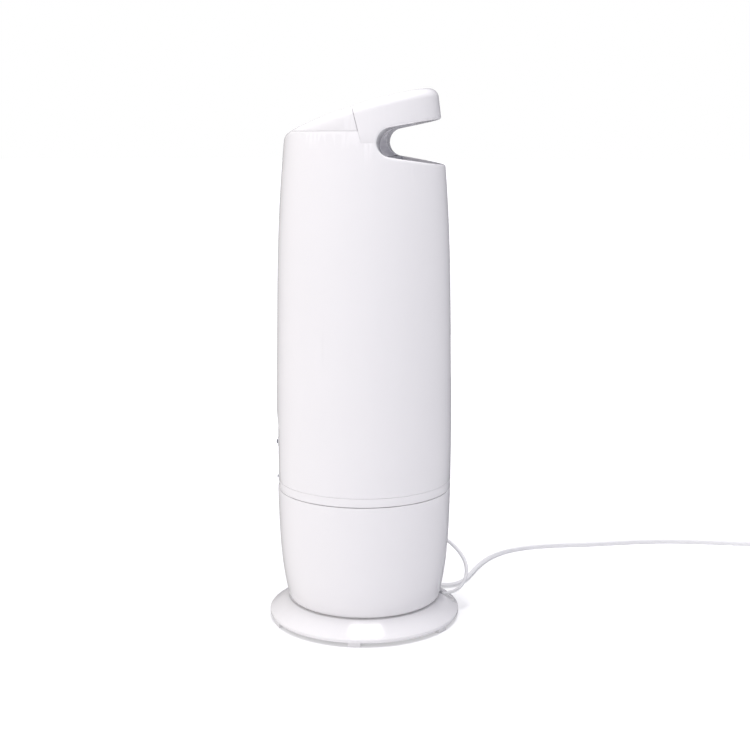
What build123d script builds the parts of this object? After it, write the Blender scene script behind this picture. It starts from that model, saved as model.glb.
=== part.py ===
"""Tower humidifier: an ultrasonic base, a lift-off water tank with a carry handle, and a mist cap."""

import os
from math import atan, cos, pi, radians, sin, tan

from build123d import *

os.makedirs("parts", exist_ok=True)

# ---------------------------------------------------------------- driving dimensions (mm)
# The origin is on the floor under the tower's axis. +Z is up, -Y is the front, +Y the grip side.
SKIN = [                    # outer skin of the tower: (radius, height)
    (83.4, 25.0), (90.2, 62.0), (93.6, 110.0), (94.7, 160.0), (94.8, 230.0),
    (93.3, 330.0), (90.6, 425.0), (86.0, 495.0), (80.9, 545.0), (75.0, 590.0),
]
WALL = 3.0                  # moulded wall thickness
EDGE_ROUND = 10.0           # rounding between the crown and the skin
MOUTH_ROUND = 2.5           # rounding of the grip slot's outer edge
SEAM_Z = 148.5              # line between the base and the tank
SEAM_GAP = 0.9
COLLAR_TOP = 158.1          # top of the tank's trim band
BAND_CHAMFER = 0.9
CROWN_FRONT = (-80.0, 527.6)
CROWN_MID = (-4.0, 554.6)
CROWN_REAR = (80.0, 576.8)

FLANGE_R = 105.0            # foot plate
FLANGE_RIM = (5.0, 8.1)     # underside and top of its rim
PLATFORM_Z = 22.6           # top of the foot plate's platform
PLATFORM_R = 84.5
PAD_HEIGHT = 5.0
PAD_COUNT = 6

GRIP_CENTRE = (36.0, 519.0)  # inner end of the grip slot, in Y and Z
GRIP_R = 15.0
GRIP_RISE = 10.8            # slope of the slot's ceiling, degrees
GRIP_FALL = 9.1             # slope of the slot's floor, degrees
HANDLE_Z = 518.5            # lower edge of the handle beside the slot
HANDLE_Y = 6.0              # front end of that edge
HANDLE_LEAN = 15.1          # lean of the handle's front face, degrees
CAP_Z = 530.2               # lower edge of the top cap

ARCH_HALF = 33.0            # control tower: half width
ARCH_TOP = 239.0
ARCH_BACK = -73.0           # Y of its back wall

BASIN_FLOOR = 112.0
BASIN_R = 86.0
TANK_FLOOR = 166.0
DECK_Z = 508.0
CHIMNEY_Y = -36.0
CHIMNEY_R = 19.0
NECK_Y = 36.0
NECK_R = 24.0
VALVE_FOOT = 130.0          # lower end of the valve plunger

COVER_SET = (4.0, 5.0)      # how far the covers' hollows stay inside the skin and under the crown
BOARD_POST = 3.0            # radius of the posts that carry the boards
BOARD_THICK = 1.6
RUN_GAP = 0.3               # clearance between pieces that move apart
CORD_D = 5.8


def seam_y(z):
    """Y of the handle's leaning front face at a height."""
    return HANDLE_Y - (z - HANDLE_Z) * tan(radians(HANDLE_LEAN))


def skin_radius(z):
    """Skin radius at a height, straight between the outline's points."""
    for (r0, z0), (r1, z1) in zip(SKIN, SKIN[1:]):
        if z0 <= z <= z1:
            return r0 + (r1 - r0) * (z - z0) / (z1 - z0)
    return SKIN[-1][0]


# ---------------------------------------------------------------- shared solids
def tower(inset, low=SKIN[0][1], high=SKIN[-1][1]):
    """The space inside the skin, moved in by inset, between two heights."""
    with BuildPart(mode=Mode.PRIVATE) as space:
        with BuildSketch(Plane.XZ):
            with BuildLine():
                side = Spline([(r - inset, z) for r, z in SKIN])
                Polyline(side @ 1, (0, SKIN[-1][1]), (0, SKIN[0][1]), side @ 0)
            make_face()
        revolve(axis=Axis.Z)
        with BuildSketch(Plane.XY.offset(low)):
            Circle(FLANGE_R)
        extrude(amount=high - low, mode=Mode.INTERSECT)
    return space.part


def slab(*points, half=FLANGE_R):
    """A block with a side-view outline in Y and Z, running across the tower along X."""
    with BuildPart(mode=Mode.PRIVATE) as block:
        with BuildSketch(Plane.YZ):
            with BuildLine():
                Polyline(*points, close=True)
            make_face()
        extrude(amount=half, both=True)
    return block.part


def under_crown(drop):
    """Everything under the crown, lowered by drop."""
    front, mid, rear = [(y, z - drop) for y, z in (CROWN_FRONT, CROWN_MID, CROWN_REAR)]
    with BuildPart(mode=Mode.PRIVATE) as block:
        with BuildSketch(Plane.YZ):
            with BuildLine():
                top = ThreePointArc(front, mid, rear)
                Polyline(top @ 1, (120, (top @ 1).Y + 10), (120, 0), (-120, 0), (-120, (top @ 0).Y - 14), top @ 0)
            make_face()
        extrude(amount=FLANGE_R, both=True)
    return block.part


def grip_slot(grow):
    """The slot under the handle, cut right across the tower, made larger by grow."""
    radius = GRIP_R + grow
    arc_turn = 180 - GRIP_RISE - GRIP_FALL
    reach = 90
    with BuildPart(mode=Mode.PRIVATE) as slot:
        with BuildSketch(Plane.YZ):
            with BuildLine():
                back = CenterArc(GRIP_CENTRE, radius, 90 + GRIP_RISE, arc_turn)
                roof_end = (back @ 0) + Vector(reach, reach * tan(radians(GRIP_RISE)))
                floor_end = (back @ 1) + Vector(reach, -reach * tan(radians(GRIP_FALL)))
                Polyline(back @ 1, floor_end, roof_end, back @ 0)
            make_face()
        extrude(amount=FLANGE_R, both=True)
    return slot.part


def arch(grow, back, low, inset):
    """The control tower's space: an arch seen from the front, from the skin in to a back plane."""
    half = ARCH_HALF + grow
    with BuildPart(mode=Mode.PRIVATE) as block:
        with BuildSketch(Plane.XZ.offset(-back)):
            with Locations((0, (low + ARCH_TOP - ARCH_HALF) / 2)):
                Rectangle(2 * half, ARCH_TOP - ARCH_HALF - low)
            with Locations((0, ARCH_TOP - ARCH_HALF)):
                Circle(half)
        extrude(amount=FLANGE_R + back)
        add(tower(inset), mode=Mode.INTERSECT)
        with BuildSketch(Plane.XY.offset(low)):
            Circle(FLANGE_R)
        extrude(amount=FLANGE_R * 2, mode=Mode.INTERSECT)
    return block.part


def tube(radius, wall, low, high, at=(0, 0)):
    """A plain upright tube."""
    with BuildPart(mode=Mode.PRIVATE) as ring:
        with BuildSketch(Plane.XY.offset(low)):
            with Locations(at):
                Circle(radius)
                Circle(radius - wall, mode=Mode.SUBTRACT)
        extrude(amount=high - low)
    return ring.part


def keep(piece, name):
    """Label a finished piece and write its file."""
    piece.label = name
    export_step(piece, f"parts/{name}.step")


# The tower's outside: the skin, cut off by the crown, its edge rounded, with the grip slot cut through.
with BuildPart() as outside:
    add(tower(0))
    add(under_crown(0), mode=Mode.INTERSECT)
    fillet(outside.faces().sort_by(Axis.Z)[-1].edges(), EDGE_ROUND)
    add(grip_slot(0), mode=Mode.SUBTRACT)
    mouth_edges = outside.edges().filter_by(GeomType.BSPLINE).filter_by_position(Axis.Y, 20, FLANGE_R)
    fillet(mouth_edges, MOUTH_ROUND)


# ---------------------------------------------------------------- base: foot, housing, basin
SLOT_ANGLE = 100.0          # the cord leaves the foot plate here, just past the rear
POWER_BOARD = ((36.0, 12.0), 34.0)      # middle and underside of the power board
DRIVER_BOARD = ((8.0, -32.0), 90.0)     # middle and underside of the mist maker's board
SCREW_R = 68.0
SCREW_COUNT = 4

with BuildPart() as foot_plate:
    with BuildSketch(Plane.XZ):
        with BuildLine():
            Polyline(
                (58, PLATFORM_Z), (PLATFORM_R, PLATFORM_Z), (FLANGE_R, FLANGE_RIM[1]),
                (FLANGE_R, FLANGE_RIM[0]), (FLANGE_R - 4, FLANGE_RIM[0]),
                (PLATFORM_R - 2, PLATFORM_Z - WALL), (58, PLATFORM_Z - WALL), close=True,
            )
        make_face()
    revolve(axis=Axis.Z)
    rim = foot_plate.edges().filter_by(GeomType.CIRCLE).group_by(SortBy.RADIUS)[-1]
    fillet(rim.sort_by(Axis.Z)[-1], 1.2)
    with BuildSketch(Plane.XY):
        with PolarLocations(SCREW_R, SCREW_COUNT, start_angle=45):
            Circle(2.2)
    extrude(amount=PLATFORM_Z + 1, mode=Mode.SUBTRACT)
    with BuildSketch(Plane.XY.offset(9.2).rotated((0, 0, SLOT_ANGLE))):
        with Locations((84, 0)):
            Rectangle(36, 15)
    extrude(amount=20, mode=Mode.SUBTRACT)
keep(foot_plate.part, "foot_plate")

with BuildPart() as foot_pads:
    with BuildSketch(Plane.XY):
        with PolarLocations(97.5, PAD_COUNT):
            Rectangle(13, 13)
    extrude(amount=PAD_HEIGHT)
keep(foot_pads.part, "foot_pads")

with BuildPart() as bottom_cover:
    with BuildSketch(Plane.XY.offset(PLATFORM_Z)):
        Circle(80)
    extrude(amount=WALL)
    with BuildSketch(Plane.XY.offset(PLATFORM_Z)):
        with GridLocations(0, 9, 1, 9):
            SlotOverall(64, 4.4)
    extrude(amount=WALL, mode=Mode.SUBTRACT)
    with BuildSketch(Plane.XY.offset(PLATFORM_Z)):
        with PolarLocations(SCREW_R, SCREW_COUNT, start_angle=45):
            Circle(2.2)
    extrude(amount=WALL, mode=Mode.SUBTRACT)
    with BuildSketch(Plane.XY.offset(PLATFORM_Z + WALL)):
        with Locations(POWER_BOARD[0]):
            with GridLocations(22, 36, 2, 2):
                Circle(BOARD_POST)
    extrude(amount=POWER_BOARD[1] - PLATFORM_Z - WALL)
keep(bottom_cover.part, "bottom_cover")

FASCIA_SET = 1.2            # the control tower's face stands this far inside the skin
WINDOW = (36.0, 13.0, 178.0)
BUTTONS = {                 # name: (X, height, radius)
    "power_button": (0, 217, 7.0),
    "mist_button": (-15, 198, 5.0),
    "timer_button": (15, 198, 5.0),
    "humidity_button": (-15, 159, 5.0),
    "sleep_button": (15, 159, 5.0),
}

with BuildPart() as base_housing:
    add(tower(0, high=SEAM_Z - SEAM_GAP))
    add(tower(WALL, high=SEAM_Z), mode=Mode.SUBTRACT)
    with BuildSketch(Plane.XY.offset(PLATFORM_Z + WALL + 0.2)):
        Circle(skin_radius(30) - WALL + 0.8)
        Circle(60, mode=Mode.SUBTRACT)
    extrude(amount=WALL)
    with BuildSketch(Plane.XY.offset(PLATFORM_Z + WALL + WALL)):
        with PolarLocations(SCREW_R, SCREW_COUNT, start_angle=45):
            Circle(4.5)
    extrude(amount=12)
    with BuildSketch(Plane.XY.offset(PLATFORM_Z)):
        with PolarLocations(SCREW_R, SCREW_COUNT, start_angle=45):
            Circle(1.6)
    extrude(amount=16, mode=Mode.SUBTRACT)
    add(arch(0, ARCH_BACK, SEAM_Z - 12, FASCIA_SET))
    add(arch(-2.4, ARCH_BACK - 2, SEAM_Z - 13, FASCIA_SET + 2.6), mode=Mode.SUBTRACT)
    with BuildSketch(Plane.XZ.offset(80)):
        with Locations((0, WINDOW[2])):
            RectangleRounded(WINDOW[0], WINDOW[1], 3)
        for x, z, radius in BUTTONS.values():
            with Locations((x, z)):
                Circle(radius + RUN_GAP)
    extrude(amount=30, mode=Mode.SUBTRACT)
keep(base_housing.part, "base_housing")

FLOAT_AT = (52.0, -6.0)
DUCT_AT = (-56.0, 30.0)
WELL_R = 10.0
HOLDER_SCREWS = [(16.5 * cos(2 * pi * i / 3), CHIMNEY_Y + 16.5 * sin(2 * pi * i / 3)) for i in range(3)]

with BuildPart() as water_basin:
    with BuildSketch(Plane.XZ):
        with BuildLine():
            Polyline(
                (0, BASIN_FLOOR), (BASIN_R, BASIN_FLOOR), (BASIN_R, 141), (91, 141), (91, 143.6),
                (BASIN_R - 2.4, 143.6), (BASIN_R - 2.4, BASIN_FLOOR + WALL), (0, BASIN_FLOOR + WALL), close=True,
            )
        make_face()
    revolve(axis=Axis.Z)
    add(arch(0.2, ARCH_BACK, 120, 0), mode=Mode.SUBTRACT)
    with BuildSketch(Plane.XZ.offset(-ARCH_BACK - 3.2)):
        with Locations((0, (BASIN_FLOOR + 143.6) / 2)):
            Rectangle(2 * ARCH_HALF + 26, 143.6 - BASIN_FLOOR)
    extrude(amount=2.4)
    with BuildSketch(Plane.XY.offset(BASIN_FLOOR)):
        with Locations((0, NECK_Y)):
            Circle(4)
    extrude(amount=VALVE_FOOT - 0.5 - BASIN_FLOOR)
    with BuildSketch(Plane.XY.offset(BASIN_FLOOR)):
        with Locations(DUCT_AT):
            Circle(10.6)
    extrude(amount=46)
    with BuildSketch(Plane.XY.offset(BASIN_FLOOR)):
        with Locations(FLOAT_AT):
            Circle(4.5)
    extrude(amount=30)
    with BuildSketch(Plane.XY.offset(BASIN_FLOOR - 1)):
        with Locations(DUCT_AT):
            Circle(8.2)
        with Locations((0, CHIMNEY_Y)):
            Circle(WELL_R)
    extrude(amount=60, mode=Mode.SUBTRACT)
    with BuildSketch(Plane.XY.offset(BASIN_FLOOR)):
        with Locations(*HOLDER_SCREWS):
            Circle(1.3)
    extrude(amount=2.2, mode=Mode.SUBTRACT)
    with BuildSketch(Plane.XY.offset(DRIVER_BOARD[1] + BOARD_THICK)):
        with Locations(DRIVER_BOARD[0]):
            with GridLocations(54, 36, 2, 2):
                Circle(BOARD_POST - 0.5)
    extrude(amount=BASIN_FLOOR - DRIVER_BOARD[1] - BOARD_THICK)
keep(water_basin.part, "water_basin")

with BuildPart() as float_ring:
    with BuildSketch(Plane.XY.offset(BASIN_FLOOR + WALL + RUN_GAP)):
        with Locations(FLOAT_AT):
            Circle(14)
            Circle(4.9, mode=Mode.SUBTRACT)
    extrude(amount=14)
    fillet(float_ring.edges().filter_by(GeomType.CIRCLE).group_by(SortBy.RADIUS)[-1], 1.5)
keep(float_ring.part, "float_ring")

with BuildPart() as float_clip:
    with BuildSketch(Plane.XY.offset(BASIN_FLOOR + 30)):
        with Locations(FLOAT_AT):
            Circle(8)
    extrude(amount=2)
keep(float_clip.part, "float_clip")

# ---------------------------------------------------------------- base: mist maker
with BuildPart() as transducer_disc:
    with BuildSketch(Plane.XY.offset(BASIN_FLOOR - 3)):
        with Locations((0, CHIMNEY_Y)):
            Circle(11)
    extrude(amount=1.2)
keep(transducer_disc.part, "transducer_disc")

with BuildPart() as transducer_seal:
    with BuildSketch(Plane.XY.offset(BASIN_FLOOR - 1.8)):
        with Locations((0, CHIMNEY_Y)):
            Circle(14)
            Circle(WELL_R - 1, mode=Mode.SUBTRACT)
    extrude(amount=1.8)
keep(transducer_seal.part, "transducer_seal")

with BuildPart() as transducer_holder:
    with BuildSketch(Plane.XY.offset(BASIN_FLOOR - 6)):
        with Locations((0, CHIMNEY_Y)):
            Circle(19)
            Circle(8, mode=Mode.SUBTRACT)
    extrude(amount=6)
    with BuildSketch(Plane.XY.offset(BASIN_FLOOR - 3)):
        with Locations((0, CHIMNEY_Y)):
            Circle(14)
    extrude(amount=3, mode=Mode.SUBTRACT)
    with BuildSketch(Plane.XY.offset(BASIN_FLOOR - 6)):
        with Locations(*HOLDER_SCREWS):
            Circle(1.3)
    extrude(amount=6, mode=Mode.SUBTRACT)
keep(transducer_holder.part, "transducer_holder")

with BuildPart() as driver_board:
    with BuildSketch(Plane.XY.offset(DRIVER_BOARD[1])):
        with Locations(DRIVER_BOARD[0]):
            Rectangle(62, 44)
    extrude(amount=BOARD_THICK)
    with BuildSketch(Plane.XY.offset(DRIVER_BOARD[1] + BOARD_THICK)):
        with Locations((-14, -44), (26, -44), (26, -20)):
            Rectangle(9, 7)
    extrude(amount=6)
keep(driver_board.part, "driver_board")

with BuildPart() as heat_sink:
    with BuildSketch(Plane.XY.offset(DRIVER_BOARD[1] - 3)):
        with Locations(DRIVER_BOARD[0]):
            Rectangle(40, 36)
    extrude(amount=3)
    with BuildSketch(Plane.XY.offset(DRIVER_BOARD[1] - 18)):
        with Locations(DRIVER_BOARD[0]):
            with GridLocations(6, 0, 7, 1):
                Rectangle(1.6, 36)
    extrude(amount=15)
keep(heat_sink.part, "heat_sink")

with BuildPart() as power_board:
    with BuildSketch(Plane.XY.offset(POWER_BOARD[1])):
        with Locations(POWER_BOARD[0]):
            Rectangle(44, 56)
    extrude(amount=BOARD_THICK)
    with BuildSketch(Plane.XY.offset(POWER_BOARD[1] + BOARD_THICK)):
        with Locations((22, 32), (34, 32), (46, 32)):
            Circle(5)
    extrude(amount=18)
keep(power_board.part, "power_board")

with BuildPart() as transformer:
    with BuildSketch(Plane.XY.offset(POWER_BOARD[1] + BOARD_THICK)):
        with Locations((36, 6)):
            Rectangle(34, 28)
    extrude(amount=26)
    fillet(transformer.edges().filter_by(Axis.Z), 2)
keep(transformer.part, "transformer")

# ---------------------------------------------------------------- base: fan and air duct
FAN_AT = (-42.0, 14.0)
FAN_BOTTOM = PLATFORM_Z + WALL + WALL + 0.2     # on the housing's ledge
FAN_TOP = FAN_BOTTOM + 26
ROTOR_R = 22.0
BLADES = 12

with BuildPart() as fan_housing:
    with BuildSketch(Plane.XY.offset(FAN_BOTTOM)):
        with Locations(FAN_AT):
            RectangleRounded(58, 58, 8)
    extrude(amount=FAN_TOP - FAN_BOTTOM)
    with BuildSketch(Plane.XY.offset(FAN_BOTTOM + 2)):
        with Locations(FAN_AT):
            RectangleRounded(54, 54, 6)
    extrude(amount=FAN_TOP - FAN_BOTTOM - 4, mode=Mode.SUBTRACT)
    with BuildSketch(Plane.XY.offset(FAN_TOP - 3)):
        with Locations(DUCT_AT):
            Circle(8.2)
    extrude(amount=4, mode=Mode.SUBTRACT)
    with BuildSketch(Plane.XY.offset(FAN_BOTTOM - 1)):
        with Locations(FAN_AT):
            Circle(15)
            Circle(6, mode=Mode.SUBTRACT)
            Rectangle(34, 3, mode=Mode.SUBTRACT)
    extrude(amount=4, mode=Mode.SUBTRACT)
keep(fan_housing.part, "fan_housing")

with BuildPart() as fan_motor:
    with BuildSketch(Plane.XY.offset(FAN_BOTTOM + 2)):
        with Locations(FAN_AT):
            Circle(9)
    extrude(amount=7)
    with BuildSketch(Plane.XY.offset(FAN_BOTTOM + 9)):
        with Locations(FAN_AT):
            Circle(1.5)
    extrude(amount=9)
keep(fan_motor.part, "fan_motor")

with BuildPart() as fan_rotor:
    with BuildSketch(Plane.XY.offset(FAN_BOTTOM + 10)):
        with Locations(FAN_AT):
            Circle(ROTOR_R)
    extrude(amount=1.6)
    with BuildSketch(Plane.XY.offset(FAN_BOTTOM + 10)):
        with Locations(FAN_AT):
            Circle(5)
    extrude(amount=8.6)
    with BuildSketch(Plane.XY.offset(FAN_BOTTOM + 10)):
        with Locations(FAN_AT):
            with PolarLocations(ROTOR_R - 5, BLADES):
                Rectangle(9, 1.2, rotation=35)
    extrude(amount=11)
    with BuildSketch(Plane.XY.offset(FAN_BOTTOM + 9)):
        with Locations(FAN_AT):
            Circle(1.55)
    extrude(amount=20, mode=Mode.SUBTRACT)
keep(fan_rotor.part, "fan_rotor")

keep(tube(10.2, 2, FAN_TOP, BASIN_FLOOR, DUCT_AT), "air_duct")

# ---------------------------------------------------------------- base: control panel
BOARD_Y = ARCH_BACK - 6.5

with BuildPart() as panel_board:
    with BuildSketch(Plane.XZ.offset(-BOARD_Y)):
        with Locations((0, 187)):
            RectangleRounded(48, 78, 6)
    extrude(amount=1.6)
    with BuildSketch(Plane.XZ.offset(-BOARD_Y + 1.6)):
        for x, z, radius in BUTTONS.values():
            with Locations((x, z)):
                Rectangle(6, 6)
    extrude(amount=3)
keep(panel_board.part, "panel_board")

with BuildPart() as display_module:
    with BuildSketch(Plane.XZ.offset(-BOARD_Y + 1.6)):
        with Locations((0, WINDOW[2])):
            Rectangle(34, 11)
    extrude(amount=6)
keep(display_module.part, "display_module")

with BuildPart() as display_window:
    add(tower(FASCIA_SET + 0.3, low=WINDOW[2] - 15, high=WINDOW[2] + 15))
    add(tower(FASCIA_SET + 2.2, low=WINDOW[2] - 16, high=WINDOW[2] + 16), mode=Mode.SUBTRACT)
    with BuildSketch(Plane.XZ.offset(80)):
        with Locations((0, WINDOW[2])):
            RectangleRounded(WINDOW[0] - 0.2, WINDOW[1] - 0.2, 2.9)
    extrude(amount=30, mode=Mode.INTERSECT)
keep(display_window.part, "display_window")

for name, (x, z, radius) in BUTTONS.items():
    with BuildPart() as button:
        add(arch(-1, BOARD_Y - 6.4, SEAM_Z, FASCIA_SET - 0.5))
        with BuildSketch(Plane.XZ.offset(80)):
            with Locations((x, z)):
                Circle(radius)
        extrude(amount=30, mode=Mode.INTERSECT)
    keep(button.part, name)

# ---------------------------------------------------------------- tank
with BuildPart() as tank_collar:
    add(tower(0, low=SEAM_Z, high=COLLAR_TOP))
    add(tower(5, low=SEAM_Z - 1, high=COLLAR_TOP + 1), mode=Mode.SUBTRACT)
    add(arch(RUN_GAP + 0.2, ARCH_BACK + 1, 140, -2), mode=Mode.SUBTRACT)
    top_edges = tank_collar.faces().sort_by(Axis.Z)[-1].edges()
    chamfer(top_edges.sort_by(SortBy.LENGTH)[-1], BAND_CHAMFER)
keep(tank_collar.part, "tank_collar")

LINER_THICK = 2.4
LINER_LOW = (505.0, 68.0)   # height and half width at its foot
LINER_TOP = (533.6, 7.0)


def liner_space(gap):
    """The tongue that lines the grip's inner end, with a gap all round it."""
    low_z, low_half = LINER_LOW
    top_z, top_half = LINER_TOP
    with BuildPart(mode=Mode.PRIVATE) as block:
        with BuildSketch(Plane.XZ.offset(-GRIP_CENTRE[0])):
            with BuildLine():
                Polyline((-low_half, low_z), (low_half, low_z), (top_half, top_z), (-top_half, top_z), close=True)
            make_face()
            if gap:
                offset(amount=gap, kind=Kind.INTERSECTION)
        extrude(amount=40)
        add(grip_slot(LINER_THICK + gap), mode=Mode.INTERSECT)
    return block.part - grip_slot(0)


with BuildPart() as tank_shell:
    add(outside.part)
    add(slab(
        (-120, COLLAR_TOP), (120, COLLAR_TOP), (120, HANDLE_Z - 0.1), (HANDLE_Y - 0.1, HANDLE_Z - 0.1),
        (seam_y(CAP_Z) - 0.1, CAP_Z - 0.2), (-120, CAP_Z - 0.2),
    ), mode=Mode.INTERSECT)
    # water space, kept clear of the grip slot and of the control tower's recess
    cavity = tower(WALL, low=COLLAR_TOP - 1, high=DECK_Z)
    cavity = cavity - grip_slot(WALL + 5) - arch(WALL, ARCH_BACK + 3.5, 140, -2)
    add(cavity, mode=Mode.SUBTRACT)
    # open bowl above the deck, where the cap and the handle sit
    bowl = tower(WALL, low=DECK_Z + WALL, high=CAP_Z + 1) - grip_slot(WALL)
    add(bowl, mode=Mode.SUBTRACT)
    add(arch(RUN_GAP + 0.2, ARCH_BACK + 1, 140, -2), mode=Mode.SUBTRACT)
    # finger scoop in the slot's floor
    scoop_depth = 5
    scoop = tower(6, low=480, high=510) & (grip_slot(scoop_depth) - slab((0, 0), (38, 0), (38, 700), (0, 700)))
    add(scoop, mode=Mode.SUBTRACT)
    with BuildSketch(Plane.XY.offset(DECK_Z - 1)):
        with Locations((0, CHIMNEY_Y)):
            Circle(CHIMNEY_R + 2.5)
    extrude(amount=WALL + 2, mode=Mode.SUBTRACT)
    add(liner_space(0.5), mode=Mode.SUBTRACT)
keep(tank_shell.part, "tank_shell")


with BuildPart() as tank_floor:
    add(tower(WALL + 0.1, low=TANK_FLOOR, high=TANK_FLOOR + WALL))
    add(arch(WALL + 0.1, ARCH_BACK + 3.6, 140, -2), mode=Mode.SUBTRACT)
    with BuildSketch(Plane.XY.offset(TANK_FLOOR - 16)):
        with Locations((0, NECK_Y)):
            Circle(NECK_R)
    extrude(amount=16)
    with BuildSketch(Plane.XY.offset(TANK_FLOOR - 17)):
        with Locations((0, NECK_Y)):
            Circle(NECK_R - 3)
        with Locations((0, CHIMNEY_Y)):
            Circle(CHIMNEY_R)
    extrude(amount=22, mode=Mode.SUBTRACT)
keep(tank_floor.part, "tank_floor")

keep(tube(CHIMNEY_R, 2, 150, DECK_Z + 8, (0, CHIMNEY_Y)), "mist_chimney")
keep(tube(CHIMNEY_R + 2.5, 2.5, DECK_Z, DECK_Z + WALL, (0, CHIMNEY_Y)), "chimney_gasket")
keep(tube(CHIMNEY_R + 3, 3, TANK_FLOOR - 3, TANK_FLOOR, (0, CHIMNEY_Y)), "floor_gasket")

# ---------------------------------------------------------------- carry handle
with BuildPart() as carry_handle:
    add(outside.part)
    add(slab(
        (HANDLE_Y, HANDLE_Z), (120, HANDLE_Z), (120, 620), (seam_y(620) + 0.4, 620),
    ), mode=Mode.INTERSECT)
    # hollow: open below beside the grip and again under the beak
    hollow = tower(COVER_SET[0], low=HANDLE_Z - 1) & under_crown(COVER_SET[1])
    hollow = hollow & slab(
        (HANDLE_Y + WALL + 1, HANDLE_Z - 1), (120, HANDLE_Z - 1), (120, 620), (seam_y(620) + WALL + 1, 620),
    )
    beak_wall = grip_slot(WALL) & slab((0, 480), (50, 480), (50, 620), (0, 620))
    beak_lip = grip_slot(WALL) - tower(8, low=480, high=560)
    add(hollow - beak_wall - beak_lip, mode=Mode.SUBTRACT)
    add(liner_space(0.5), mode=Mode.SUBTRACT)
keep(carry_handle.part, "carry_handle")

with BuildPart() as grip_liner:
    add(liner_space(0))
keep(grip_liner.part, "grip_liner")

# ---------------------------------------------------------------- tank cap and valve
with BuildPart() as tank_cap:
    with BuildSketch(Plane.XY.offset(TANK_FLOOR - 22)):
        with Locations((0, NECK_Y)):
            Circle(NECK_R + 3)
    extrude(amount=18)
    with BuildSketch(Plane.XY.offset(TANK_FLOOR - 19)):
        with Locations((0, NECK_Y)):
            Circle(NECK_R + RUN_GAP)
    extrude(amount=16, mode=Mode.SUBTRACT)
    with BuildSketch(Plane.XY.offset(TANK_FLOOR - 22)):
        with Locations((0, NECK_Y)):
            Circle(9)
    extrude(amount=12)
    with BuildSketch(Plane.XY.offset(TANK_FLOOR - 23)):
        with Locations((0, NECK_Y)):
            Circle(6)
    extrude(amount=10.5, mode=Mode.SUBTRACT)
    with BuildSketch(Plane.XY.offset(TANK_FLOOR - 23)):
        with Locations((0, NECK_Y)):
            Circle(4.5)
    extrude(amount=20, mode=Mode.SUBTRACT)
    with BuildSketch(Plane.XY.offset(TANK_FLOOR - 22)):
        with Locations((0, NECK_Y)):
            with PolarLocations(NECK_R + 3, 24):
                Circle(1.1)
    extrude(amount=18, mode=Mode.SUBTRACT)
keep(tank_cap.part, "tank_cap")

keep(tube(NECK_R - 0.4, 3.4, TANK_FLOOR - 19, TANK_FLOOR - 17, (0, NECK_Y)), "cap_gasket")

with BuildPart() as valve_plunger:
    with BuildSketch(Plane.XY.offset(VALVE_FOOT)):
        with Locations((0, NECK_Y)):
            Circle(2.2)
    extrude(amount=30)
    with BuildSketch(Plane.XY.offset(TANK_FLOOR - 26)):
        with Locations((0, NECK_Y)):
            Circle(5.4)
    extrude(amount=2)
keep(valve_plunger.part, "valve_plunger")

keep(tube(8, 5.79, TANK_FLOOR - 9.7, TANK_FLOOR - 7.7, (0, NECK_Y)), "valve_seal")

SPRING_LOW = TANK_FLOOR - 23.5
SPRING_HIGH = TANK_FLOOR - 13.0
with BuildPart() as valve_spring:
    with BuildLine(Plane((0, NECK_Y, SPRING_LOW))) as coil_line:
        Helix((SPRING_HIGH - SPRING_LOW) / 4, SPRING_HIGH - SPRING_LOW, 4.7)
    with BuildSketch(Plane(origin=coil_line.line @ 0, z_dir=coil_line.line % 0)):
        Circle(0.4)
    sweep(is_frenet=True)
keep(valve_spring.part, "valve_spring")

# ---------------------------------------------------------------- top cap and mist nozzle
NOZZLE_Y = -38.0
NOZZLE_R = 22.0


def crown_height(y):
    """Crown height at a Y: the parabola through the crown's three points."""
    height = 0
    points = (CROWN_FRONT, CROWN_MID, CROWN_REAR)
    for y0, z0 in points:
        share = 1
        for y1, _ in points:
            if y1 != y0:
                share *= (y - y1) / (y0 - y1)
        height += z0 * share
    return height


crown_slope = atan(crown_height(NOZZLE_Y + 0.5) - crown_height(NOZZLE_Y - 0.5))
nozzle_plane = Plane(
    origin=(0, NOZZLE_Y, crown_height(NOZZLE_Y)), x_dir=(1, 0, 0), z_dir=(0, -sin(crown_slope), cos(crown_slope)),
)

# two rails under the crown that steer the cap into the tank's bowl
with BuildPart() as cap_rails:
    with BuildSketch(Plane.XY.offset(CAP_Z - 12)):
        with Locations((0, -18)):
            with GridLocations(2 * 68, 0, 2, 1):
                Rectangle(3, 26)
    extrude(amount=40)
    add(under_crown(WALL), mode=Mode.INTERSECT)

with BuildPart() as top_cap:
    add(outside.part)
    add(slab(
        (-120, CAP_Z), (seam_y(CAP_Z) - 0.4, CAP_Z), (seam_y(620) - 0.4, 620), (-120, 620),
    ), mode=Mode.INTERSECT)
    inner = tower(COVER_SET[0], low=CAP_Z - 1) & under_crown(COVER_SET[1])
    inner = inner & slab(
        (-120, CAP_Z - 1), (seam_y(CAP_Z) - WALL, CAP_Z - 1), (seam_y(620) - WALL, 620), (-120, 620),
    )
    add(inner, mode=Mode.SUBTRACT)
    with BuildSketch(nozzle_plane.offset(-17)):
        Circle(NOZZLE_R + 2.8)
    extrude(amount=16)
    with BuildSketch(nozzle_plane.offset(-15)):
        Circle(NOZZLE_R + RUN_GAP)
    extrude(amount=30, mode=Mode.SUBTRACT)
    with BuildSketch(nozzle_plane.offset(-20)):
        Circle(NOZZLE_R - 4)
    extrude(amount=30, mode=Mode.SUBTRACT)
    add(cap_rails.part)
keep(top_cap.part, "top_cap")

with BuildPart() as nozzle_ring:
    with BuildSketch(nozzle_plane.offset(-15)):
        Circle(NOZZLE_R - 0.5)
        Circle(NOZZLE_R - 3, mode=Mode.SUBTRACT)
    extrude(amount=1)
keep(nozzle_ring.part, "nozzle_ring")

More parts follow.
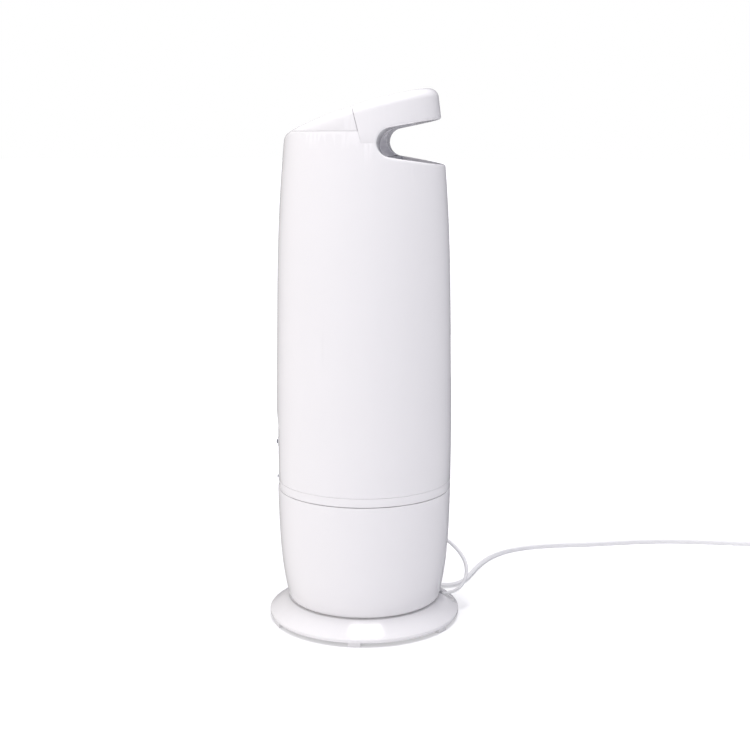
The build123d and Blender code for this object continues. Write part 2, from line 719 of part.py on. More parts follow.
with BuildPart() as mist_nozzle:
    with BuildSketch(nozzle_plane.offset(-13.6)):
        Circle(NOZZLE_R)
    extrude(amount=13.4)
    with BuildSketch(nozzle_plane.offset(-13.6)):
        Circle(NOZZLE_R - 2.4)
    extrude(amount=10.2, mode=Mode.SUBTRACT)
    with BuildSketch(nozzle_plane.offset(-1.4)):
        Circle(NOZZLE_R - 3)
    extrude(amount=2, mode=Mode.SUBTRACT)
    with BuildSketch(nozzle_plane.offset(-8)):
        with Locations((0, 8)):
            SlotOverall(26, 8)
    extrude(amount=10, mode=Mode.SUBTRACT)
    fillet(mist_nozzle.edges().filter_by(GeomType.CIRCLE).sort_by(SortBy.RADIUS)[-1], 0.3)
keep(mist_nozzle.part, "mist_nozzle")

# ---------------------------------------------------------------- screws
def screw_group(places, head_z, head_r, shank_r, length):
    """Upright screws, heads down."""
    with BuildPart(mode=Mode.PRIVATE) as group:
        with BuildSketch(Plane.XY.offset(head_z)):
            with Locations(*places):
                Circle(head_r)
        extrude(amount=2)
        with BuildSketch(Plane.XY.offset(head_z + 2)):
            with Locations(*places):
                Circle(shank_r)
        extrude(amount=length)
        with BuildSketch(Plane.XY.offset(head_z)):
            with Locations(*places):
                Rectangle(0.8, head_r * 1.4)
                Rectangle(head_r * 1.4, 0.8)
        extrude(amount=1, mode=Mode.SUBTRACT)
    return group.part


corner = [(SCREW_R * cos(radians(45 + 90 * i)), SCREW_R * sin(radians(45 + 90 * i))) for i in range(SCREW_COUNT)]
keep(screw_group(corner, PLATFORM_Z - WALL - 2, 3.6, 1.5, 18), "base_screws")
keep(screw_group(HOLDER_SCREWS, BASIN_FLOOR - 8, 2.4, 1.2, 7.8), "holder_screws")

# ---------------------------------------------------------------- power cord
# Route of the free cord: out of the boot, one upright loop behind the tower, then along the floor.
ROUTE = [
    (-15.3, 86.5, 18.2), (-16.5, 94.0, 19.4), (-18.0, 101.9, 22.0), (-20.2, 108.4, 27.4),
    (-24.0, 112.6, 35.2), (-30.2, 113.6, 44.4), (-39.2, 109.6, 53.6), (-49.9, 100.8, 61.4),
    (-61.8, 89.0, 67.5), (-75.1, 76.1, 70.5),
    (-89.5, 63.2, 70.5), (-102.0, 52.0, 66.0), (-110.1, 43.1, 56.0), (-114.7, 38.2, 43.0),
    (-114.6, 37.7, 29.0), (-110.6, 42.6, 16.0), (-102.9, 51.9, 6.5), (-94.4, 62.7, 3.0),
    (-87.6, 75.0, 3.0), (-86.9, 89.1, 3.0), (-94.2, 101.4, 3.0), (-108.6, 110.1, 3.0),
    (-127.7, 115.8, 3.0), (-153.4, 122.4, 3.0), (-185.7, 133.8, 3.0), (-216.8, 153.9, 3.0),
    (-238.1, 183.0, 3.0), (-251.3, 220.9, 3.0), (-260.1, 270.3, 3.0), (-275.2, 323.1, 3.0),
    (-284.4, 376.5, 3.0), (-283.6, 430.8, 3.0), (-281.0, 483.0, 3.0), (-284.0, 531.0, 3.0),
]
COIL_CENTRE = (-253.0, 534.0)
COIL_R = 31.0               # middle of the coil's turns
COIL_TURNS = 5


def corner_radii(points):
    """The largest arc that each corner's two runs allow."""
    radii = []
    for before, here, after in zip(points, points[1:], points[2:]):
        run_in = Vector(*here) - Vector(*before)
        run_out = Vector(*after) - Vector(*here)
        half_turn = radians(run_in.get_angle(run_out)) / 2
        radii.append(0.45 * min(run_in.length, run_out.length) / tan(half_turn))
    return radii


radii = corner_radii(ROUTE)
print("cord radii", [round(r) for r in radii])

with BuildPart() as cord_coil:
    with BuildSketch(Plane.XY.offset(0.1)):
        with Locations(COIL_CENTRE):
            Circle(COIL_R + CORD_D / 2)
            Circle(COIL_R - CORD_D / 2, mode=Mode.SUBTRACT)
    extrude(amount=(COIL_TURNS + 1) * CORD_D)
keep(cord_coil.part, "cord_coil")

with BuildPart() as power_cord:
    with BuildLine() as route_line:
        FilletPolyline(*ROUTE, radius=radii)
    with BuildSketch(Plane(origin=route_line.line @ 0, z_dir=route_line.line % 0)):
        Circle(CORD_D / 2)
    sweep()
    tube_volume = power_cord.part.volume
    add(cord_coil.part, mode=Mode.SUBTRACT)
route_length = route_line.wires()[0].length
print("cord", power_cord.part.is_valid, "volume ratio", tube_volume / (pi * CORD_D ** 2 / 4 * route_length))
print("cord length", route_length, route_length + COIL_TURNS * 2 * pi * COIL_R)
keep(power_cord.part, "power_cord")

boot_out = Vector(cos(radians(SLOT_ANGLE)), sin(radians(SLOT_ANGLE)), 0)
boot_root = Plane(origin=boot_out * 66 + Vector(0, 0, 14.5), z_dir=boot_out)
with BuildPart() as strain_relief:
    with BuildSketch(boot_root):
        Rectangle(9, 13)
    extrude(amount=8)
    with BuildSketch(boot_root.offset(8)):
        Circle(5)
    with BuildSketch(Plane(origin=ROUTE[0], z_dir=Vector(*ROUTE[1]) - Vector(*ROUTE[0]))):
        Circle(3.4)
    loft()
keep(strain_relief.part, "strain_relief")

plug_top = 0.1 + (COIL_TURNS + 1) * CORD_D
PLUG = (26.0, 20.0, 14.0)
with BuildPart() as power_plug:
    with BuildSketch(Plane.XY.offset(plug_top)):
        with Locations((COIL_CENTRE[0] - COIL_R, COIL_CENTRE[1] + 16)):
            RectangleRounded(PLUG[1], PLUG[0], 4)
    extrude(amount=PLUG[2])
    fillet(power_plug.faces().sort_by(Axis.Z)[-1].edges(), 3)
keep(power_plug.part, "power_plug")

with BuildPart() as plug_blades:
    with BuildSketch(Plane.XZ.offset(-(COIL_CENTRE[1] + 16 + PLUG[0] / 2))):
        with Locations((COIL_CENTRE[0] - COIL_R, plug_top + PLUG[2] / 2)):
            with GridLocations(12.7, 0, 2, 1):
                Rectangle(1.5, 6.3)
    extrude(amount=-17)
keep(plug_blades.part, "plug_blades")
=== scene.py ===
import math

import bpy
from mathutils import Matrix, Vector


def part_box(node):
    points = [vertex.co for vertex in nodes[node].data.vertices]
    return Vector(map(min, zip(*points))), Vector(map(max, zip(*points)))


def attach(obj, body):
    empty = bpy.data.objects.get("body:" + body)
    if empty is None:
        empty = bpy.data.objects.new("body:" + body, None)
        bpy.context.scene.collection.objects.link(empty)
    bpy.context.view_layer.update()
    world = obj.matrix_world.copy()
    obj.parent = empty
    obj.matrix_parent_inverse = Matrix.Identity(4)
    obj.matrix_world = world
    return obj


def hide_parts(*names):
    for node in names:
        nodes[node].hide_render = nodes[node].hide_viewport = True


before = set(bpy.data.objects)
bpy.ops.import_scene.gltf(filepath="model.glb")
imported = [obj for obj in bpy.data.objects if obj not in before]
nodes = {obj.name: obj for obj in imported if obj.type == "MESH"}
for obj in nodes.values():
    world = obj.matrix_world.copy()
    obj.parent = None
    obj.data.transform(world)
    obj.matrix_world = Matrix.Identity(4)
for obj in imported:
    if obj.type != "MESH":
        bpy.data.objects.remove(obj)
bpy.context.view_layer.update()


# ---------------------------------------------------------------- camera
# A long lens a little over a metre from the side of the tower, just above its middle, tilted
# down so that the foot plate shows its top and the crown shows none of its own.
camera_at = Vector((1.3591, 0.1428, 0.5231))
camera_turn = 95.5          # degrees round the tower: 90 looks straight along -X
camera_tilt = 10.48         # degrees down
lens_mm = 61.44

lens = bpy.data.cameras.new("camera")
lens.lens = lens_mm
lens.sensor_width = 36.0
camera = bpy.data.objects.new("camera", lens)
bpy.context.scene.collection.objects.link(camera)
camera.location = camera_at
camera.rotation_euler = (math.radians(90 - camera_tilt), 0, math.radians(camera_turn))
bpy.context.scene.camera = camera


# ---------------------------------------------------------------- power cord
# A flat two-core mains lead in soft white PVC, extruded with a shallow groove between its cores.
# It comes out of the boot in the foot plate, springs up in one loop behind the tower, runs off
# along the floor and is wound on edge into a coil, with the plug lying on top.
cord_route = [
    (-0.0153, 0.0865, 0.0182), (-0.0165, 0.0940, 0.0194), (-0.0180, 0.1019, 0.0220),
    (-0.0202, 0.1084, 0.0274), (-0.0240, 0.1126, 0.0352), (-0.0302, 0.1136, 0.0444),
    (-0.0392, 0.1096, 0.0536), (-0.0499, 0.1008, 0.0614),
    (-0.0618, 0.0890, 0.0675), (-0.0751, 0.0761, 0.0705), (-0.0895, 0.0632, 0.0705),
    (-0.1020, 0.0520, 0.0660), (-0.1101, 0.0431, 0.0560), (-0.1147, 0.0382, 0.0430),
    (-0.1146, 0.0377, 0.0290), (-0.1106, 0.0426, 0.0160), (-0.1029, 0.0519, 0.0065),
    (-0.0944, 0.0627, 0.0030), (-0.0876, 0.0750, 0.0030), (-0.0869, 0.0891, 0.0030),
    (-0.0942, 0.1014, 0.0030), (-0.1086, 0.1101, 0.0030), (-0.1277, 0.1158, 0.0030),
    (-0.1534, 0.1224, 0.0030), (-0.1857, 0.1338, 0.0030), (-0.2168, 0.1539, 0.0030),
    (-0.2381, 0.1830, 0.0030), (-0.2513, 0.2209, 0.0030), (-0.2601, 0.2703, 0.0030),
    (-0.2752, 0.3231, 0.0030), (-0.2844, 0.3765, 0.0030), (-0.2836, 0.4308, 0.0030),
    (-0.2810, 0.4830, 0.0030), (-0.2840, 0.5310, 0.0032),
]
cord_wide = 0.0058
cord_thick = 0.0035
coil_middle = Vector((-0.253, 0.534, 0.0))
coil_radius = 0.031
coil_turns = 5
turn_steps = 14
coil_start = 0.0032         # height of the lead's middle in the lowest turn
into_plug = (-0.0005, -0.008, -0.003)   # last bend of the lead, from the plug's back end
plug_bite = 0.001           # how far the lead runs on inside the plug

plug_low, plug_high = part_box("power_plug")
plug_middle = (plug_low + plug_high) / 2
cord_points = list(cord_route)
for step in range(1, coil_turns * turn_steps - 1):
    angle = math.pi - 2 * math.pi * step / turn_steps
    height = coil_start + cord_wide * step / turn_steps
    coil_x = coil_middle.x + coil_radius * math.cos(angle)
    coil_y = coil_middle.y + coil_radius * math.sin(angle)
    cord_points.append((coil_x, coil_y, height))
cord_points.append((plug_middle.x + into_plug[0], plug_low.y + into_plug[1], plug_middle.z + into_plug[2]))
cord_points.append((plug_middle.x, plug_low.y + plug_bite, plug_middle.z))

line_data = bpy.data.curves.new("cord_line", "CURVE")
line_data.dimensions = "3D"
line_data.resolution_u = 8
spline = line_data.splines.new("NURBS")
spline.points.add(len(cord_points) - 1)
for point, place in zip(spline.points, cord_points):
    point.co = (*place, 1.0)
spline.order_u = 3
spline.use_endpoint_u = True
line_object = bpy.data.objects.new("cord_line", line_data)
bpy.context.scene.collection.objects.link(line_object)
line_mesh = bpy.data.meshes.new_from_object(line_object)
cord_path = [vertex.co.copy() for vertex in line_mesh.vertices]
bpy.data.objects.remove(line_object)

# The way the flat lead faces: edge to the side where it leaves the boot, level behind the tower,
# then stood on edge along the floor and round the coil, as a lead wound flat keeps its set.
travel = [0.0]
for before, after in zip(cord_path, cord_path[1:]):
    travel.append(travel[-1] + (after - before).length)
level_from, level_run = 0.03, 0.16      # where the lead starts to turn level, and over what length
edge_from, edge_run = 0.30, 0.14        # the same, for standing on edge
boot_twist = math.radians(80)
edge_twist = math.radians(90)
floor_run = 0.45            # a place well along the floor, where the lead's sides are easy to tell


def smooth_step(value):
    """0 to 1 with soft ends."""
    value = max(0.0, min(1.0, value))
    return value * value * (3 - 2 * value)


def cord_direction(i):
    """Direction of travel at a point of the cord."""
    return (cord_path[min(i + 1, len(cord_path) - 1)] - cord_path[max(i - 1, 0)]).normalized()


middle = min(range(len(travel)), key=lambda i: abs(travel[i] - floor_run))
level = [None] * len(cord_path)
level[middle] = cord_direction(middle).cross(Vector((0, 0, 1))).normalized()
for i in list(range(middle + 1, len(cord_path))) + list(range(middle - 1, -1, -1)):
    side = level[i - 1] if i > middle else level[i + 1]
    direction = cord_direction(i)
    level[i] = (side - direction * side.dot(direction)).normalized()

core_steps = 7              # points round one core
half_section = []           # one core's outline, from the groove round to the groove
core_radius = cord_thick / 2
core_out = cord_wide / 2 - core_radius
for step in range(core_steps):
    turn = math.radians(90 - 180 / (core_steps - 1) * step)
    half_section.append((core_out + core_radius * math.cos(turn), core_radius * math.sin(turn)))
groove_share = 0.80         # of the half thickness that is left at the groove
groove = cord_thick / 2 * groove_share
section = [(0.0, groove)] + half_section + [(0.0, -groove)] + [(-a, -b) for a, b in half_section]

cord_verts = []
for i, place in enumerate(cord_path):
    direction = cord_direction(i)
    twist = boot_twist * (1 - smooth_step((travel[i] - level_from) / level_run))
    twist += edge_twist * smooth_step((travel[i] - edge_from) / edge_run)
    across = Matrix.Rotation(twist, 3, direction) @ level[i]
    up = direction.cross(across)
    for a, b in section:
        cord_verts.append(place + across * a + up * b)
ring = len(section)
cord_faces = []
for i in range(len(cord_path) - 1):
    for k in range(ring):
        nxt = (k + 1) % ring
        cord_faces.append((i * ring + k, i * ring + nxt, (i + 1) * ring + nxt, (i + 1) * ring + k))
cord_faces.append(tuple(range(ring - 1, -1, -1)))
cord_faces.append(tuple(range(len(cord_verts) - ring, len(cord_verts))))
cord_mesh = bpy.data.meshes.new("mains_lead")
cord_mesh.from_pydata(cord_verts, [], cord_faces)
mains_lead = bpy.data.objects.new("mains_lead", cord_mesh)
bpy.context.scene.collection.objects.link(mains_lead)
for polygon in cord_mesh.polygons:
    polygon.use_smooth = True

bpy.ops.object.select_all(action="DESELECT")
mains_lead.select_set(True)
bpy.context.view_layer.objects.active = mains_lead
bpy.ops.object.mode_set(mode="EDIT")
bpy.ops.mesh.select_all(action="SELECT")
bpy.ops.mesh.normals_make_consistent(inside=False)
bpy.ops.object.mode_set(mode="OBJECT")
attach(mains_lead, "base")
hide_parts("power_cord", "cord_coil")


coat_rough = 0.04
noise_detail = 4.0
relief_depth = 0.0005
polished, worn = 0.85, 1.2  # how far the roughness drifts, as shares of its own value


def finish_of(
    name, colour, rough, bump=0.0, bump_scale=60.0, tint=0.02, metal=0.0, coat=0.0, stretch=(1, 1, 1),
):
    """A moulded finish: slightly uneven colour and roughness, and a fine surface from a noise."""
    material = bpy.data.materials.new(name)
    material.use_nodes = True
    tree = material.node_tree
    shader = tree.nodes["Principled BSDF"]
    shader.inputs["Metallic"].default_value = metal
    shader.inputs["Coat Weight"].default_value = coat
    shader.inputs["Coat Roughness"].default_value = coat_rough
    place = tree.nodes.new("ShaderNodeTexCoord")
    shift = tree.nodes.new("ShaderNodeMapping")
    shift.inputs["Scale"].default_value = stretch
    tree.links.new(place.outputs["Object"], shift.inputs["Vector"])
    cloud = tree.nodes.new("ShaderNodeTexNoise")
    cloud.inputs["Scale"].default_value = bump_scale
    cloud.inputs["Detail"].default_value = noise_detail
    tree.links.new(shift.outputs["Vector"], cloud.inputs["Vector"])
    shade = tree.nodes.new("ShaderNodeMix")
    shade.data_type = "RGBA"
    shade.inputs[6].default_value = (*colour, 1)
    shade.inputs[7].default_value = (*[c * (1 - tint) for c in colour], 1)
    tree.links.new(cloud.outputs["Fac"], shade.inputs[0])
    tree.links.new(shade.outputs[2], shader.inputs["Base Color"])
    spread = tree.nodes.new("ShaderNodeMapRange")
    spread.inputs["To Min"].default_value = rough * polished
    spread.inputs["To Max"].default_value = rough * worn
    tree.links.new(cloud.outputs["Fac"], spread.inputs["Value"])
    tree.links.new(spread.outputs["Result"], shader.inputs["Roughness"])
    if bump:
        relief = tree.nodes.new("ShaderNodeBump")
        relief.inputs["Strength"].default_value = bump
        relief.inputs["Distance"].default_value = relief_depth
        tree.links.new(cloud.outputs["Fac"], relief.inputs["Height"])
        tree.links.new(relief.outputs["Normal"], shader.inputs["Normal"])
    return material


def dress(material, *names):
    """Give CAD nodes a finish."""
    for name in names:
        piece = nodes[name]
        piece.data.materials.clear()
        piece.data.materials.append(material)


lead_white = finish_of("lead_white", (0.80, 0.80, 0.81), 0.40, bump=0.15, bump_scale=300.0, tint=0.03)
mains_lead.data.materials.append(lead_white)


# ---------------------------------------------------------------- cord boot
# Soft PVC moulded onto the lead where it leaves the foot, with a row of thin ribs round its
# taper, so that it bends little by little and doesn't kink the lead. Its grey is partly its own and
# partly painted shade: the shade of the pocket in the foot plate that it sits in.
def soften(piece, width):
    """Round the sharp edges of a new primitive, its place and size put into its mesh."""
    bpy.ops.object.transform_apply(location=True, rotation=True, scale=True)
    edge_soft = piece.modifiers.new("edge_soft", "BEVEL")
    edge_soft.width = width
    edge_soft.segments = 2
    edge_soft.limit_method = "ANGLE"
    edge_soft.angle_limit = math.radians(40)
    bpy.ops.object.modifier_apply(modifier="edge_soft")


def join_as(name, bits, material, body):
    """Join bits into one piece with one finish, riding on a body."""
    bpy.ops.object.select_all(action="DESELECT")
    for bit in bits:
        bit.select_set(True)
    bpy.context.view_layer.objects.active = bits[0]
    if len(bits) > 1:
        bpy.ops.object.join()
    piece = bpy.context.object
    piece.name = name
    bpy.ops.object.transform_apply(location=True, rotation=True, scale=True)
    bpy.ops.object.shade_smooth_by_angle(angle=math.radians(40))
    piece.data.materials.clear()
    piece.data.materials.append(material)
    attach(piece, body)


# the boot's dark grey is partly painted shade from the pocket it sits in
boot_grey_and_painted_shade = finish_of("boot_grey_and_painted_shade", (0.34, 0.34, 0.36), 0.55, bump=0.3, bump_scale=500.0, tint=0.08)
dress(boot_grey_and_painted_shade, "strain_relief")
boot_start = Vector((-0.0128, 0.0729, 0.0145))
boot_end = Vector(cord_route[0])
rib_radii = (0.0053, 0.0050, 0.0047, 0.0044, 0.0041)
rib_thick = 0.0011
rib_soft = 0.0003
first_rib, rib_step = 0.12, 0.18        # as shares of the boot's taper
boot_turn = (boot_end - boot_start).to_track_quat("Z", "Y").to_euler()
ribs = []
for place, radius in enumerate(rib_radii):
    bpy.ops.object.select_all(action="DESELECT")
    bpy.ops.mesh.primitive_cylinder_add(
        vertices=32, radius=radius, depth=rib_thick, rotation=boot_turn,
        location=boot_start.lerp(boot_end, first_rib + rib_step * place),
    )
    ribs.append(bpy.context.object)
    soften(ribs[-1], rib_soft)
join_as("boot_ribs", ribs, boot_grey_and_painted_shade, "base")


# ---------------------------------------------------------------- plug
# Moulded in one with the lead in the same white PVC, round two brass blades, with raised bars
# across its top so that fingers don't slip as it is pulled out.
dress(lead_white, "power_plug")
pale_brass = finish_of(
    "pale_brass", (0.80, 0.66, 0.34), 0.28, bump=0.1, bump_scale=400.0, tint=0.05, metal=1.0,
)
dress(pale_brass, "plug_blades")
bar_size = (0.0110, 0.0012, 0.0010)
bar_count = 4
bar_soft = 0.0003
bar_sunk = 0.0001
first_bar, bar_step = 0.0055, 0.0032
grip_bars = []
for place in range(bar_count):
    bpy.ops.object.select_all(action="DESELECT")
    bpy.ops.mesh.primitive_cube_add(
        size=1.0, scale=bar_size,
        location=(plug_middle.x, plug_low.y + first_bar + bar_step * place, plug_high.z - bar_sunk),
    )
    grip_bars.append(bpy.context.object)
    soften(grip_bars[-1], bar_soft)
join_as("plug_grips", grip_bars, lead_white, "base")


# ---------------------------------------------------------------- foot plate
# One injection-moulded ABS dish, polished in the mould: a deep gloss over a white that is a touch
# cool, standing on six small soft pads pushed into its rim.
white_gloss = finish_of("white_gloss", (0.86, 0.85, 0.86), 0.13, bump=0.05, bump_scale=9.0, tint=0.012)
weld_within = 0.000004
flat_within = math.radians(0.4)
edge_from_angle = math.radians(38)
smooth_to_angle = math.radians(30)


def moulded_skin(node, body, edge_round):
    """A shell in its node's place: faces merged, flats kept flat, edges rounded as a mould leaves them."""
    bpy.ops.object.select_all(action="DESELECT")
    skin = nodes[node].copy()
    skin.data = nodes[node].data.copy()
    skin.name = node + "_skin"
    bpy.context.scene.collection.objects.link(skin)
    skin.parent = None
    skin.matrix_world = Matrix.Identity(4)
    skin.select_set(True)
    bpy.context.view_layer.objects.active = skin
    if skin.data.has_custom_normals:
        bpy.ops.mesh.customdata_custom_splitnormals_clear()
    bpy.ops.object.mode_set(mode="EDIT")
    bpy.ops.mesh.select_all(action="SELECT")
    bpy.ops.mesh.remove_doubles(threshold=weld_within)
    bpy.ops.mesh.dissolve_limited(angle_limit=flat_within)
    bpy.ops.object.mode_set(mode="OBJECT")
    rounding = skin.modifiers.new("rounding", "BEVEL")
    rounding.width = edge_round
    rounding.segments = 2
    rounding.limit_method = "ANGLE"
    rounding.angle_limit = edge_from_angle
    rounding.use_clamp_overlap = True
    bpy.ops.object.modifier_apply(modifier="rounding")
    bpy.ops.object.shade_smooth_by_angle(angle=smooth_to_angle)
    skin.data.materials.clear()
    skin.data.materials.append(white_gloss)
    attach(skin, body)
    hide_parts(node)


moulded_skin("foot_plate", "base", 0.00035)
pad_white = finish_of("pad_white", (0.78, 0.775, 0.78), 0.55, bump=0.4, bump_scale=600.0, tint=0.05)
dress(pad_white, "foot_pads")


# ---------------------------------------------------------------- base housing
# A barrel-shaped shell in the same gloss ABS, closed from below by a satin cover with an air
# intake, which four zinc-plated screws hold to posts inside it.
moulded_skin("base_housing", "base", 0.00025)
satin_white = finish_of("satin_white", (0.80, 0.80, 0.79), 0.42, bump=0.25, bump_scale=420.0, tint=0.03)
dress(satin_white, "bottom_cover")
zinc_steel = finish_of(
    "zinc_steel", (0.62, 0.62, 0.63), 0.32, bump=0.15, bump_scale=300.0, tint=0.06, metal=1.0,
)
dress(zinc_steel, "base_screws")


# ---------------------------------------------------------------- water basin and mist maker
# The basin is satin ABS. A brass-plated ceramic disc sits in its floor under a steel holder, on a
# grey silicone ring, and a foam float in a snapped-in clip tells when the water is low.
dress(satin_white, "water_basin", "float_clip")
foam_float = finish_of("foam_float", (0.85, 0.78, 0.52), 0.7, bump=0.6, bump_scale=700.0, tint=0.10)
dress(foam_float, "float_ring")
seal_grey = finish_of("seal_grey", (0.42, 0.43, 0.45), 0.6, bump=0.2, bump_scale=500.0, tint=0.08)
dress(seal_grey, "transducer_seal")
dress(pale_brass, "transducer_disc")
dress(zinc_steel, "transducer_holder", "holder_screws")


# ---------------------------------------------------------------- fan and air duct
# A small blower in black glass-filled plastic with a steel motor can, blowing up a satin duct.
# Its housing and rotor are moulded, with the matt bloom that such plastic has.
black_plastic = finish_of("black_plastic", (0.04, 0.04, 0.045), 0.45, bump=0.3, bump_scale=500.0, tint=0.2)
dress(black_plastic, "fan_housing", "fan_rotor")
dress(zinc_steel, "fan_motor")
dress(satin_white, "air_duct")


# ---------------------------------------------------------------- circuit boards
# Green glass-epoxy boards on moulded posts: one drives the disc and has an extruded aluminium
# heat sink, the other carries the transformer, wrapped in yellow tape.
board_green = finish_of("board_green", (0.03, 0.17, 0.07), 0.35, bump=0.3, bump_scale=900.0, tint=0.3)
dress(board_green, "driver_board", "power_board")
coil_tape = finish_of("coil_tape", (0.66, 0.50, 0.08), 0.4, bump=0.3, bump_scale=250.0, tint=0.15)
dress(coil_tape, "transformer")
drawn_aluminium = finish_of(
    "drawn_aluminium", (0.75, 0.76, 0.78), 0.30, bump=0.3, bump_scale=200.0, tint=0.05, metal=1.0,
    stretch=(1, 1, 12),
)
dress(drawn_aluminium, "heat_sink")


# ---------------------------------------------------------------- control panel
# Five grey keys and a smoked acrylic window in the face of the control tower, in front of a board
# with the display. Each key has one thin raised print in a plain shape: a ring, dots or bars.
dress(board_green, "panel_board")
dress(black_plastic, "display_module")
smoked = finish_of("smoked", (0.02, 0.02, 0.024), 0.08, bump=0.02, bump_scale=30.0, tint=0.2, coat=1.0)
dress(smoked, "display_window")
key_grey = finish_of("key_grey", (0.66, 0.665, 0.69), 0.28, bump=0.1, bump_scale=200.0)
dress(key_grey, "power_button", "mist_button", "timer_button", "humidity_button", "sleep_button")
print_grey = finish_of("print_grey", (0.24, 0.25, 0.28), 0.45, bump=0.1, bump_scale=400.0, tint=0.05)
print_thick = 0.0006        # half of it is sunk in the key
print_soft = 0.00008
upright = (math.radians(90), 0, 0)
key_marks = {               # rings and dots as (X, Z, radius), bars as (X, Z, width, height)
    "power": ([(0, 0, 0.0026)], [], [(0, 0.0024, 0.0007, 0.0026)]),
    "mist": ([], [(-0.0016, -0.0008, 0.00055), (0.0016, -0.0008, 0.00055), (0, 0.0014, 0.00055)], []),
    "timer": ([(0, 0, 0.0022)], [], [(0, 0.0007, 0.0005, 0.0016), (0.0005, 0, 0.0013, 0.0005)]),
    "humidity": ([], [], [
        (-0.0014, 0, 0.0006, 0.0016), (0, 0.0004, 0.0006, 0.0026), (0.0014, 0.0008, 0.0006, 0.0036),
    ]),
    "sleep": ([], [(0, 0, 0.0015)], []),
}
for key, (rings, dots, bars) in key_marks.items():
    key_low, key_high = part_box(key + "_button")
    face = Vector(((key_low.x + key_high.x) / 2, key_low.y, (key_low.z + key_high.z) / 2))
    bits = []
    for x, z, radius in rings:
        bpy.ops.object.select_all(action="DESELECT")
        bpy.ops.mesh.primitive_torus_add(
            major_radius=radius, minor_radius=print_thick / 2, major_segments=40, minor_segments=12,
            rotation=upright, location=face + Vector((x, 0, z)),
        )
        bits.append(bpy.context.object)
    for x, z, radius in dots:
        bpy.ops.object.select_all(action="DESELECT")
        bpy.ops.mesh.primitive_cylinder_add(
            vertices=28, radius=radius, depth=print_thick,
            rotation=upright, location=face + Vector((x, 0, z)),
        )
        bits.append(bpy.context.object)
        soften(bits[-1], print_soft)
    for x, z, width, height in bars:
        bpy.ops.object.select_all(action="DESELECT")
        bpy.ops.mesh.primitive_cube_add(
            size=1.0, scale=(width, print_thick, height), location=face + Vector((x, 0, z)),
        )
        bits.append(bpy.context.object)
        soften(bits[-1], print_soft)
    join_as(key + "_mark", bits, print_grey, key + "_button_body")


# ---------------------------------------------------------------- water tank
# A tall gloss shell with a chamfered trim band at its foot, a glued-in satin floor and a straight
# tube that takes the mist up to the top, sealed with grey silicone rings.
moulded_skin("tank_collar", "tank", 0.00020)
moulded_skin("tank_shell", "tank", 0.00030)
dress(satin_white, "tank_floor", "mist_chimney")
dress(seal_grey, "chimney_gasket", "floor_gasket")


# ---------------------------------------------------------------- carry handle
# A hollow gloss moulding snapped over the rear of the tank, and a plain tongue that lines the
# inner end of the grip, a little more matt so that fingers don't slip. The tongue is a lighter,
# cooler white than the shell: painted light on the shaded inner end of the grip.
moulded_skin("carry_handle", "tank", 0.00025)
# lighter, cooler white than the shell: painted light lifting the grip's shaded inner end
liner_white_painted_light = finish_of("liner_white_painted_light", (0.93, 0.92, 0.95), 0.30, bump=0.05, bump_scale=30.0, tint=0.012)
dress(liner_white_painted_light, "grip_liner")


# ---------------------------------------------------------------- tank cap and valve
# A pale blue bayonet cap with a finger-ribbed rim, and in it a sprung plunger that shuts the tank
# when it is lifted off the base.
cap_blue = finish_of("cap_blue", (0.50, 0.62, 0.72), 0.38, bump=0.2, bump_scale=350.0, tint=0.04)
dress(cap_blue, "tank_cap")
dress(seal_grey, "cap_gasket", "valve_seal")
dress(satin_white, "valve_plunger")
dress(zinc_steel, "valve_spring")


# ---------------------------------------------------------------- top cap and nozzle
# The front of the crown lifts off as one gloss cover. The nozzle turns in it on a grey ring, and is
# moulded with a finer, less polished surface.
moulded_skin("top_cap", "top_cap_body", 0.00025)
nozzle_white = finish_of("nozzle_white", (0.82, 0.815, 0.83), 0.22, bump=0.08, bump_scale=90.0)
dress(nozzle_white, "mist_nozzle")
dress(seal_grey, "nozzle_ring")


# ---------------------------------------------------------------- floor and studio
# A wide pale floor in a white studio: bright and a little warm on the panel side, dark and cool
# behind the grip, and open above, so that the gloss walls shade evenly from one limb to the other.
bpy.ops.object.select_all(action="DESELECT")
bpy.ops.mesh.primitive_plane_add(size=60, location=(0, 0, 0))
floor = bpy.context.object
floor.name = "floor"
floor_paint = bpy.data.materials.new("floor_paint")
floor_paint.use_nodes = True
floor_shader = floor_paint.node_tree.nodes["Principled BSDF"]
floor_shader.inputs["Base Color"].default_value = (0.78, 0.78, 0.79, 1)
floor_shader.inputs["Roughness"].default_value = 0.9
floor_shader.inputs["Specular IOR Level"].default_value = 0.0
floor_shader.inputs["Emission Color"].default_value = (1, 1, 1, 1)
floor_place = floor_paint.node_tree.nodes.new("ShaderNodeTexCoord")
floor_reach = floor_paint.node_tree.nodes.new("ShaderNodeVectorMath")
floor_reach.operation = "LENGTH"
floor_glow = floor_paint.node_tree.nodes.new("ShaderNodeMapRange")
floor_glow.inputs["From Min"].default_value = 0.35       # metres from the tower
floor_glow.inputs["From Max"].default_value = 2.2
floor_glow.inputs["To Min"].default_value = 0.25
floor_glow.inputs["To Max"].default_value = 0.62
floor_paint.node_tree.links.new(floor_place.outputs["Object"], floor_reach.inputs[0])
floor_paint.node_tree.links.new(floor_reach.outputs["Value"], floor_glow.inputs["Value"])
floor_paint.node_tree.links.new(floor_glow.outputs["Result"], floor_shader.inputs["Emission Strength"])
floor.data.materials.append(floor_paint)
floor.visible_glossy = False

# Walls by compass bearing: 0 and 1 lie behind (-X), 0.25 at the panel, 0.5 at the side, 0.75 at the grip.
studio_walls = [
    (0.00, (0.20, 0.20, 0.23)), (0.10, (0.34, 0.33, 0.32)), (0.25, (0.88, 0.84, 0.81)),
    (0.38, (0.92, 0.88, 0.86)), (0.50, (0.68, 0.66, 0.70)), (0.60, (0.33, 0.33, 0.38)),
    (0.72, (0.04, 0.04, 0.08)), (0.90, (0.03, 0.03, 0.06)), (1.00, (0.14, 0.14, 0.17)),
]
ceiling = (1.03, 1.02, 1.07)

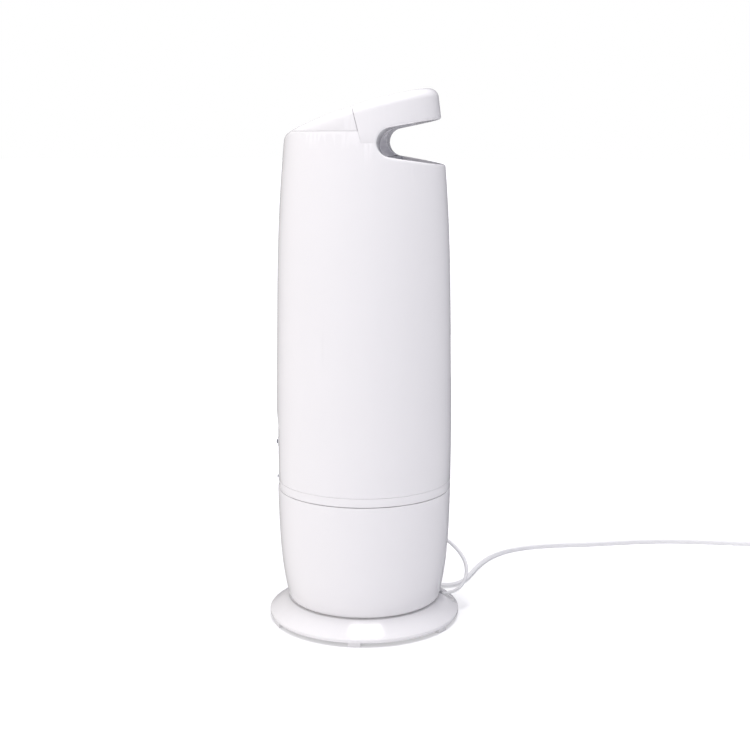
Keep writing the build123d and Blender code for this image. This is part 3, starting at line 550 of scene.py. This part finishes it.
world = bpy.data.worlds.new("studio")
bpy.context.scene.world = world
world.use_nodes = True
sky = world.node_tree
bearing_of = sky.nodes.new("ShaderNodeTexCoord")
bearing = sky.nodes.new("ShaderNodeTexGradient")
bearing.gradient_type = "RADIAL"
sky.links.new(bearing_of.outputs["Generated"], bearing.inputs["Vector"])
walls = sky.nodes.new("ShaderNodeValToRGB")
walls.color_ramp.interpolation = "EASE"
while len(walls.color_ramp.elements) < len(studio_walls):
    walls.color_ramp.elements.new(0.5)
for element, (spot, colour) in zip(walls.color_ramp.elements, studio_walls):
    element.position = spot
    element.color = (*colour, 1)
sky.links.new(bearing.outputs["Fac"], walls.inputs["Fac"])
height_of = sky.nodes.new("ShaderNodeSeparateXYZ")
sky.links.new(bearing_of.outputs["Generated"], height_of.inputs["Vector"])
rise = sky.nodes.new("ShaderNodeMapRange")
rise.interpolation_type = "SMOOTHSTEP"
rise.inputs["From Min"].default_value = 0.45
rise.inputs["From Max"].default_value = 0.95
sky.links.new(height_of.outputs["Z"], rise.inputs["Value"])
dome = sky.nodes.new("ShaderNodeMix")
dome.data_type = "RGBA"
dome.inputs[7].default_value = (*ceiling, 1)
sky.links.new(rise.outputs["Result"], dome.inputs[0])
sky.links.new(walls.outputs["Color"], dome.inputs[6])
sky.links.new(dome.outputs[2], sky.nodes["Background"].inputs["Color"])
plain_back = sky.nodes.new("ShaderNodeBackground")
seen_by = sky.nodes.new("ShaderNodeLightPath")
pick = sky.nodes.new("ShaderNodeMixShader")
sky.links.new(seen_by.outputs["Is Camera Ray"], pick.inputs[0])
sky.links.new(sky.nodes["Background"].outputs[0], pick.inputs[1])
plain_back.inputs["Color"].default_value = (1, 1, 1, 1)
plain_back.inputs["Strength"].default_value = 1.0
sky.links.new(plain_back.outputs[0], pick.inputs[2])
sky.links.new(pick.outputs[0], sky.nodes["World Output"].inputs["Surface"])


def soft_box(name, size, place, aim, power, colour=(1, 1, 1)):
    """A rectangular studio light at a place, turned to face a point."""
    light = bpy.data.lights.new(name, "AREA")
    light.shape = "RECTANGLE"
    light.size, light.size_y = size
    light.energy = power
    light.color = colour
    box = bpy.data.objects.new(name, light)
    bpy.context.scene.collection.objects.link(box)
    box.location = place
    box.rotation_euler = (Vector(aim) - Vector(place)).to_track_quat("-Z", "Y").to_euler()


soft_box("foot_light", (0.9, 0.9), (0.15, 0.05, 2.4), (0.05, 0.02, 0.0), 34.0, (1.0, 0.99, 1.0))

bpy.context.scene.view_settings.view_transform = "Standard"
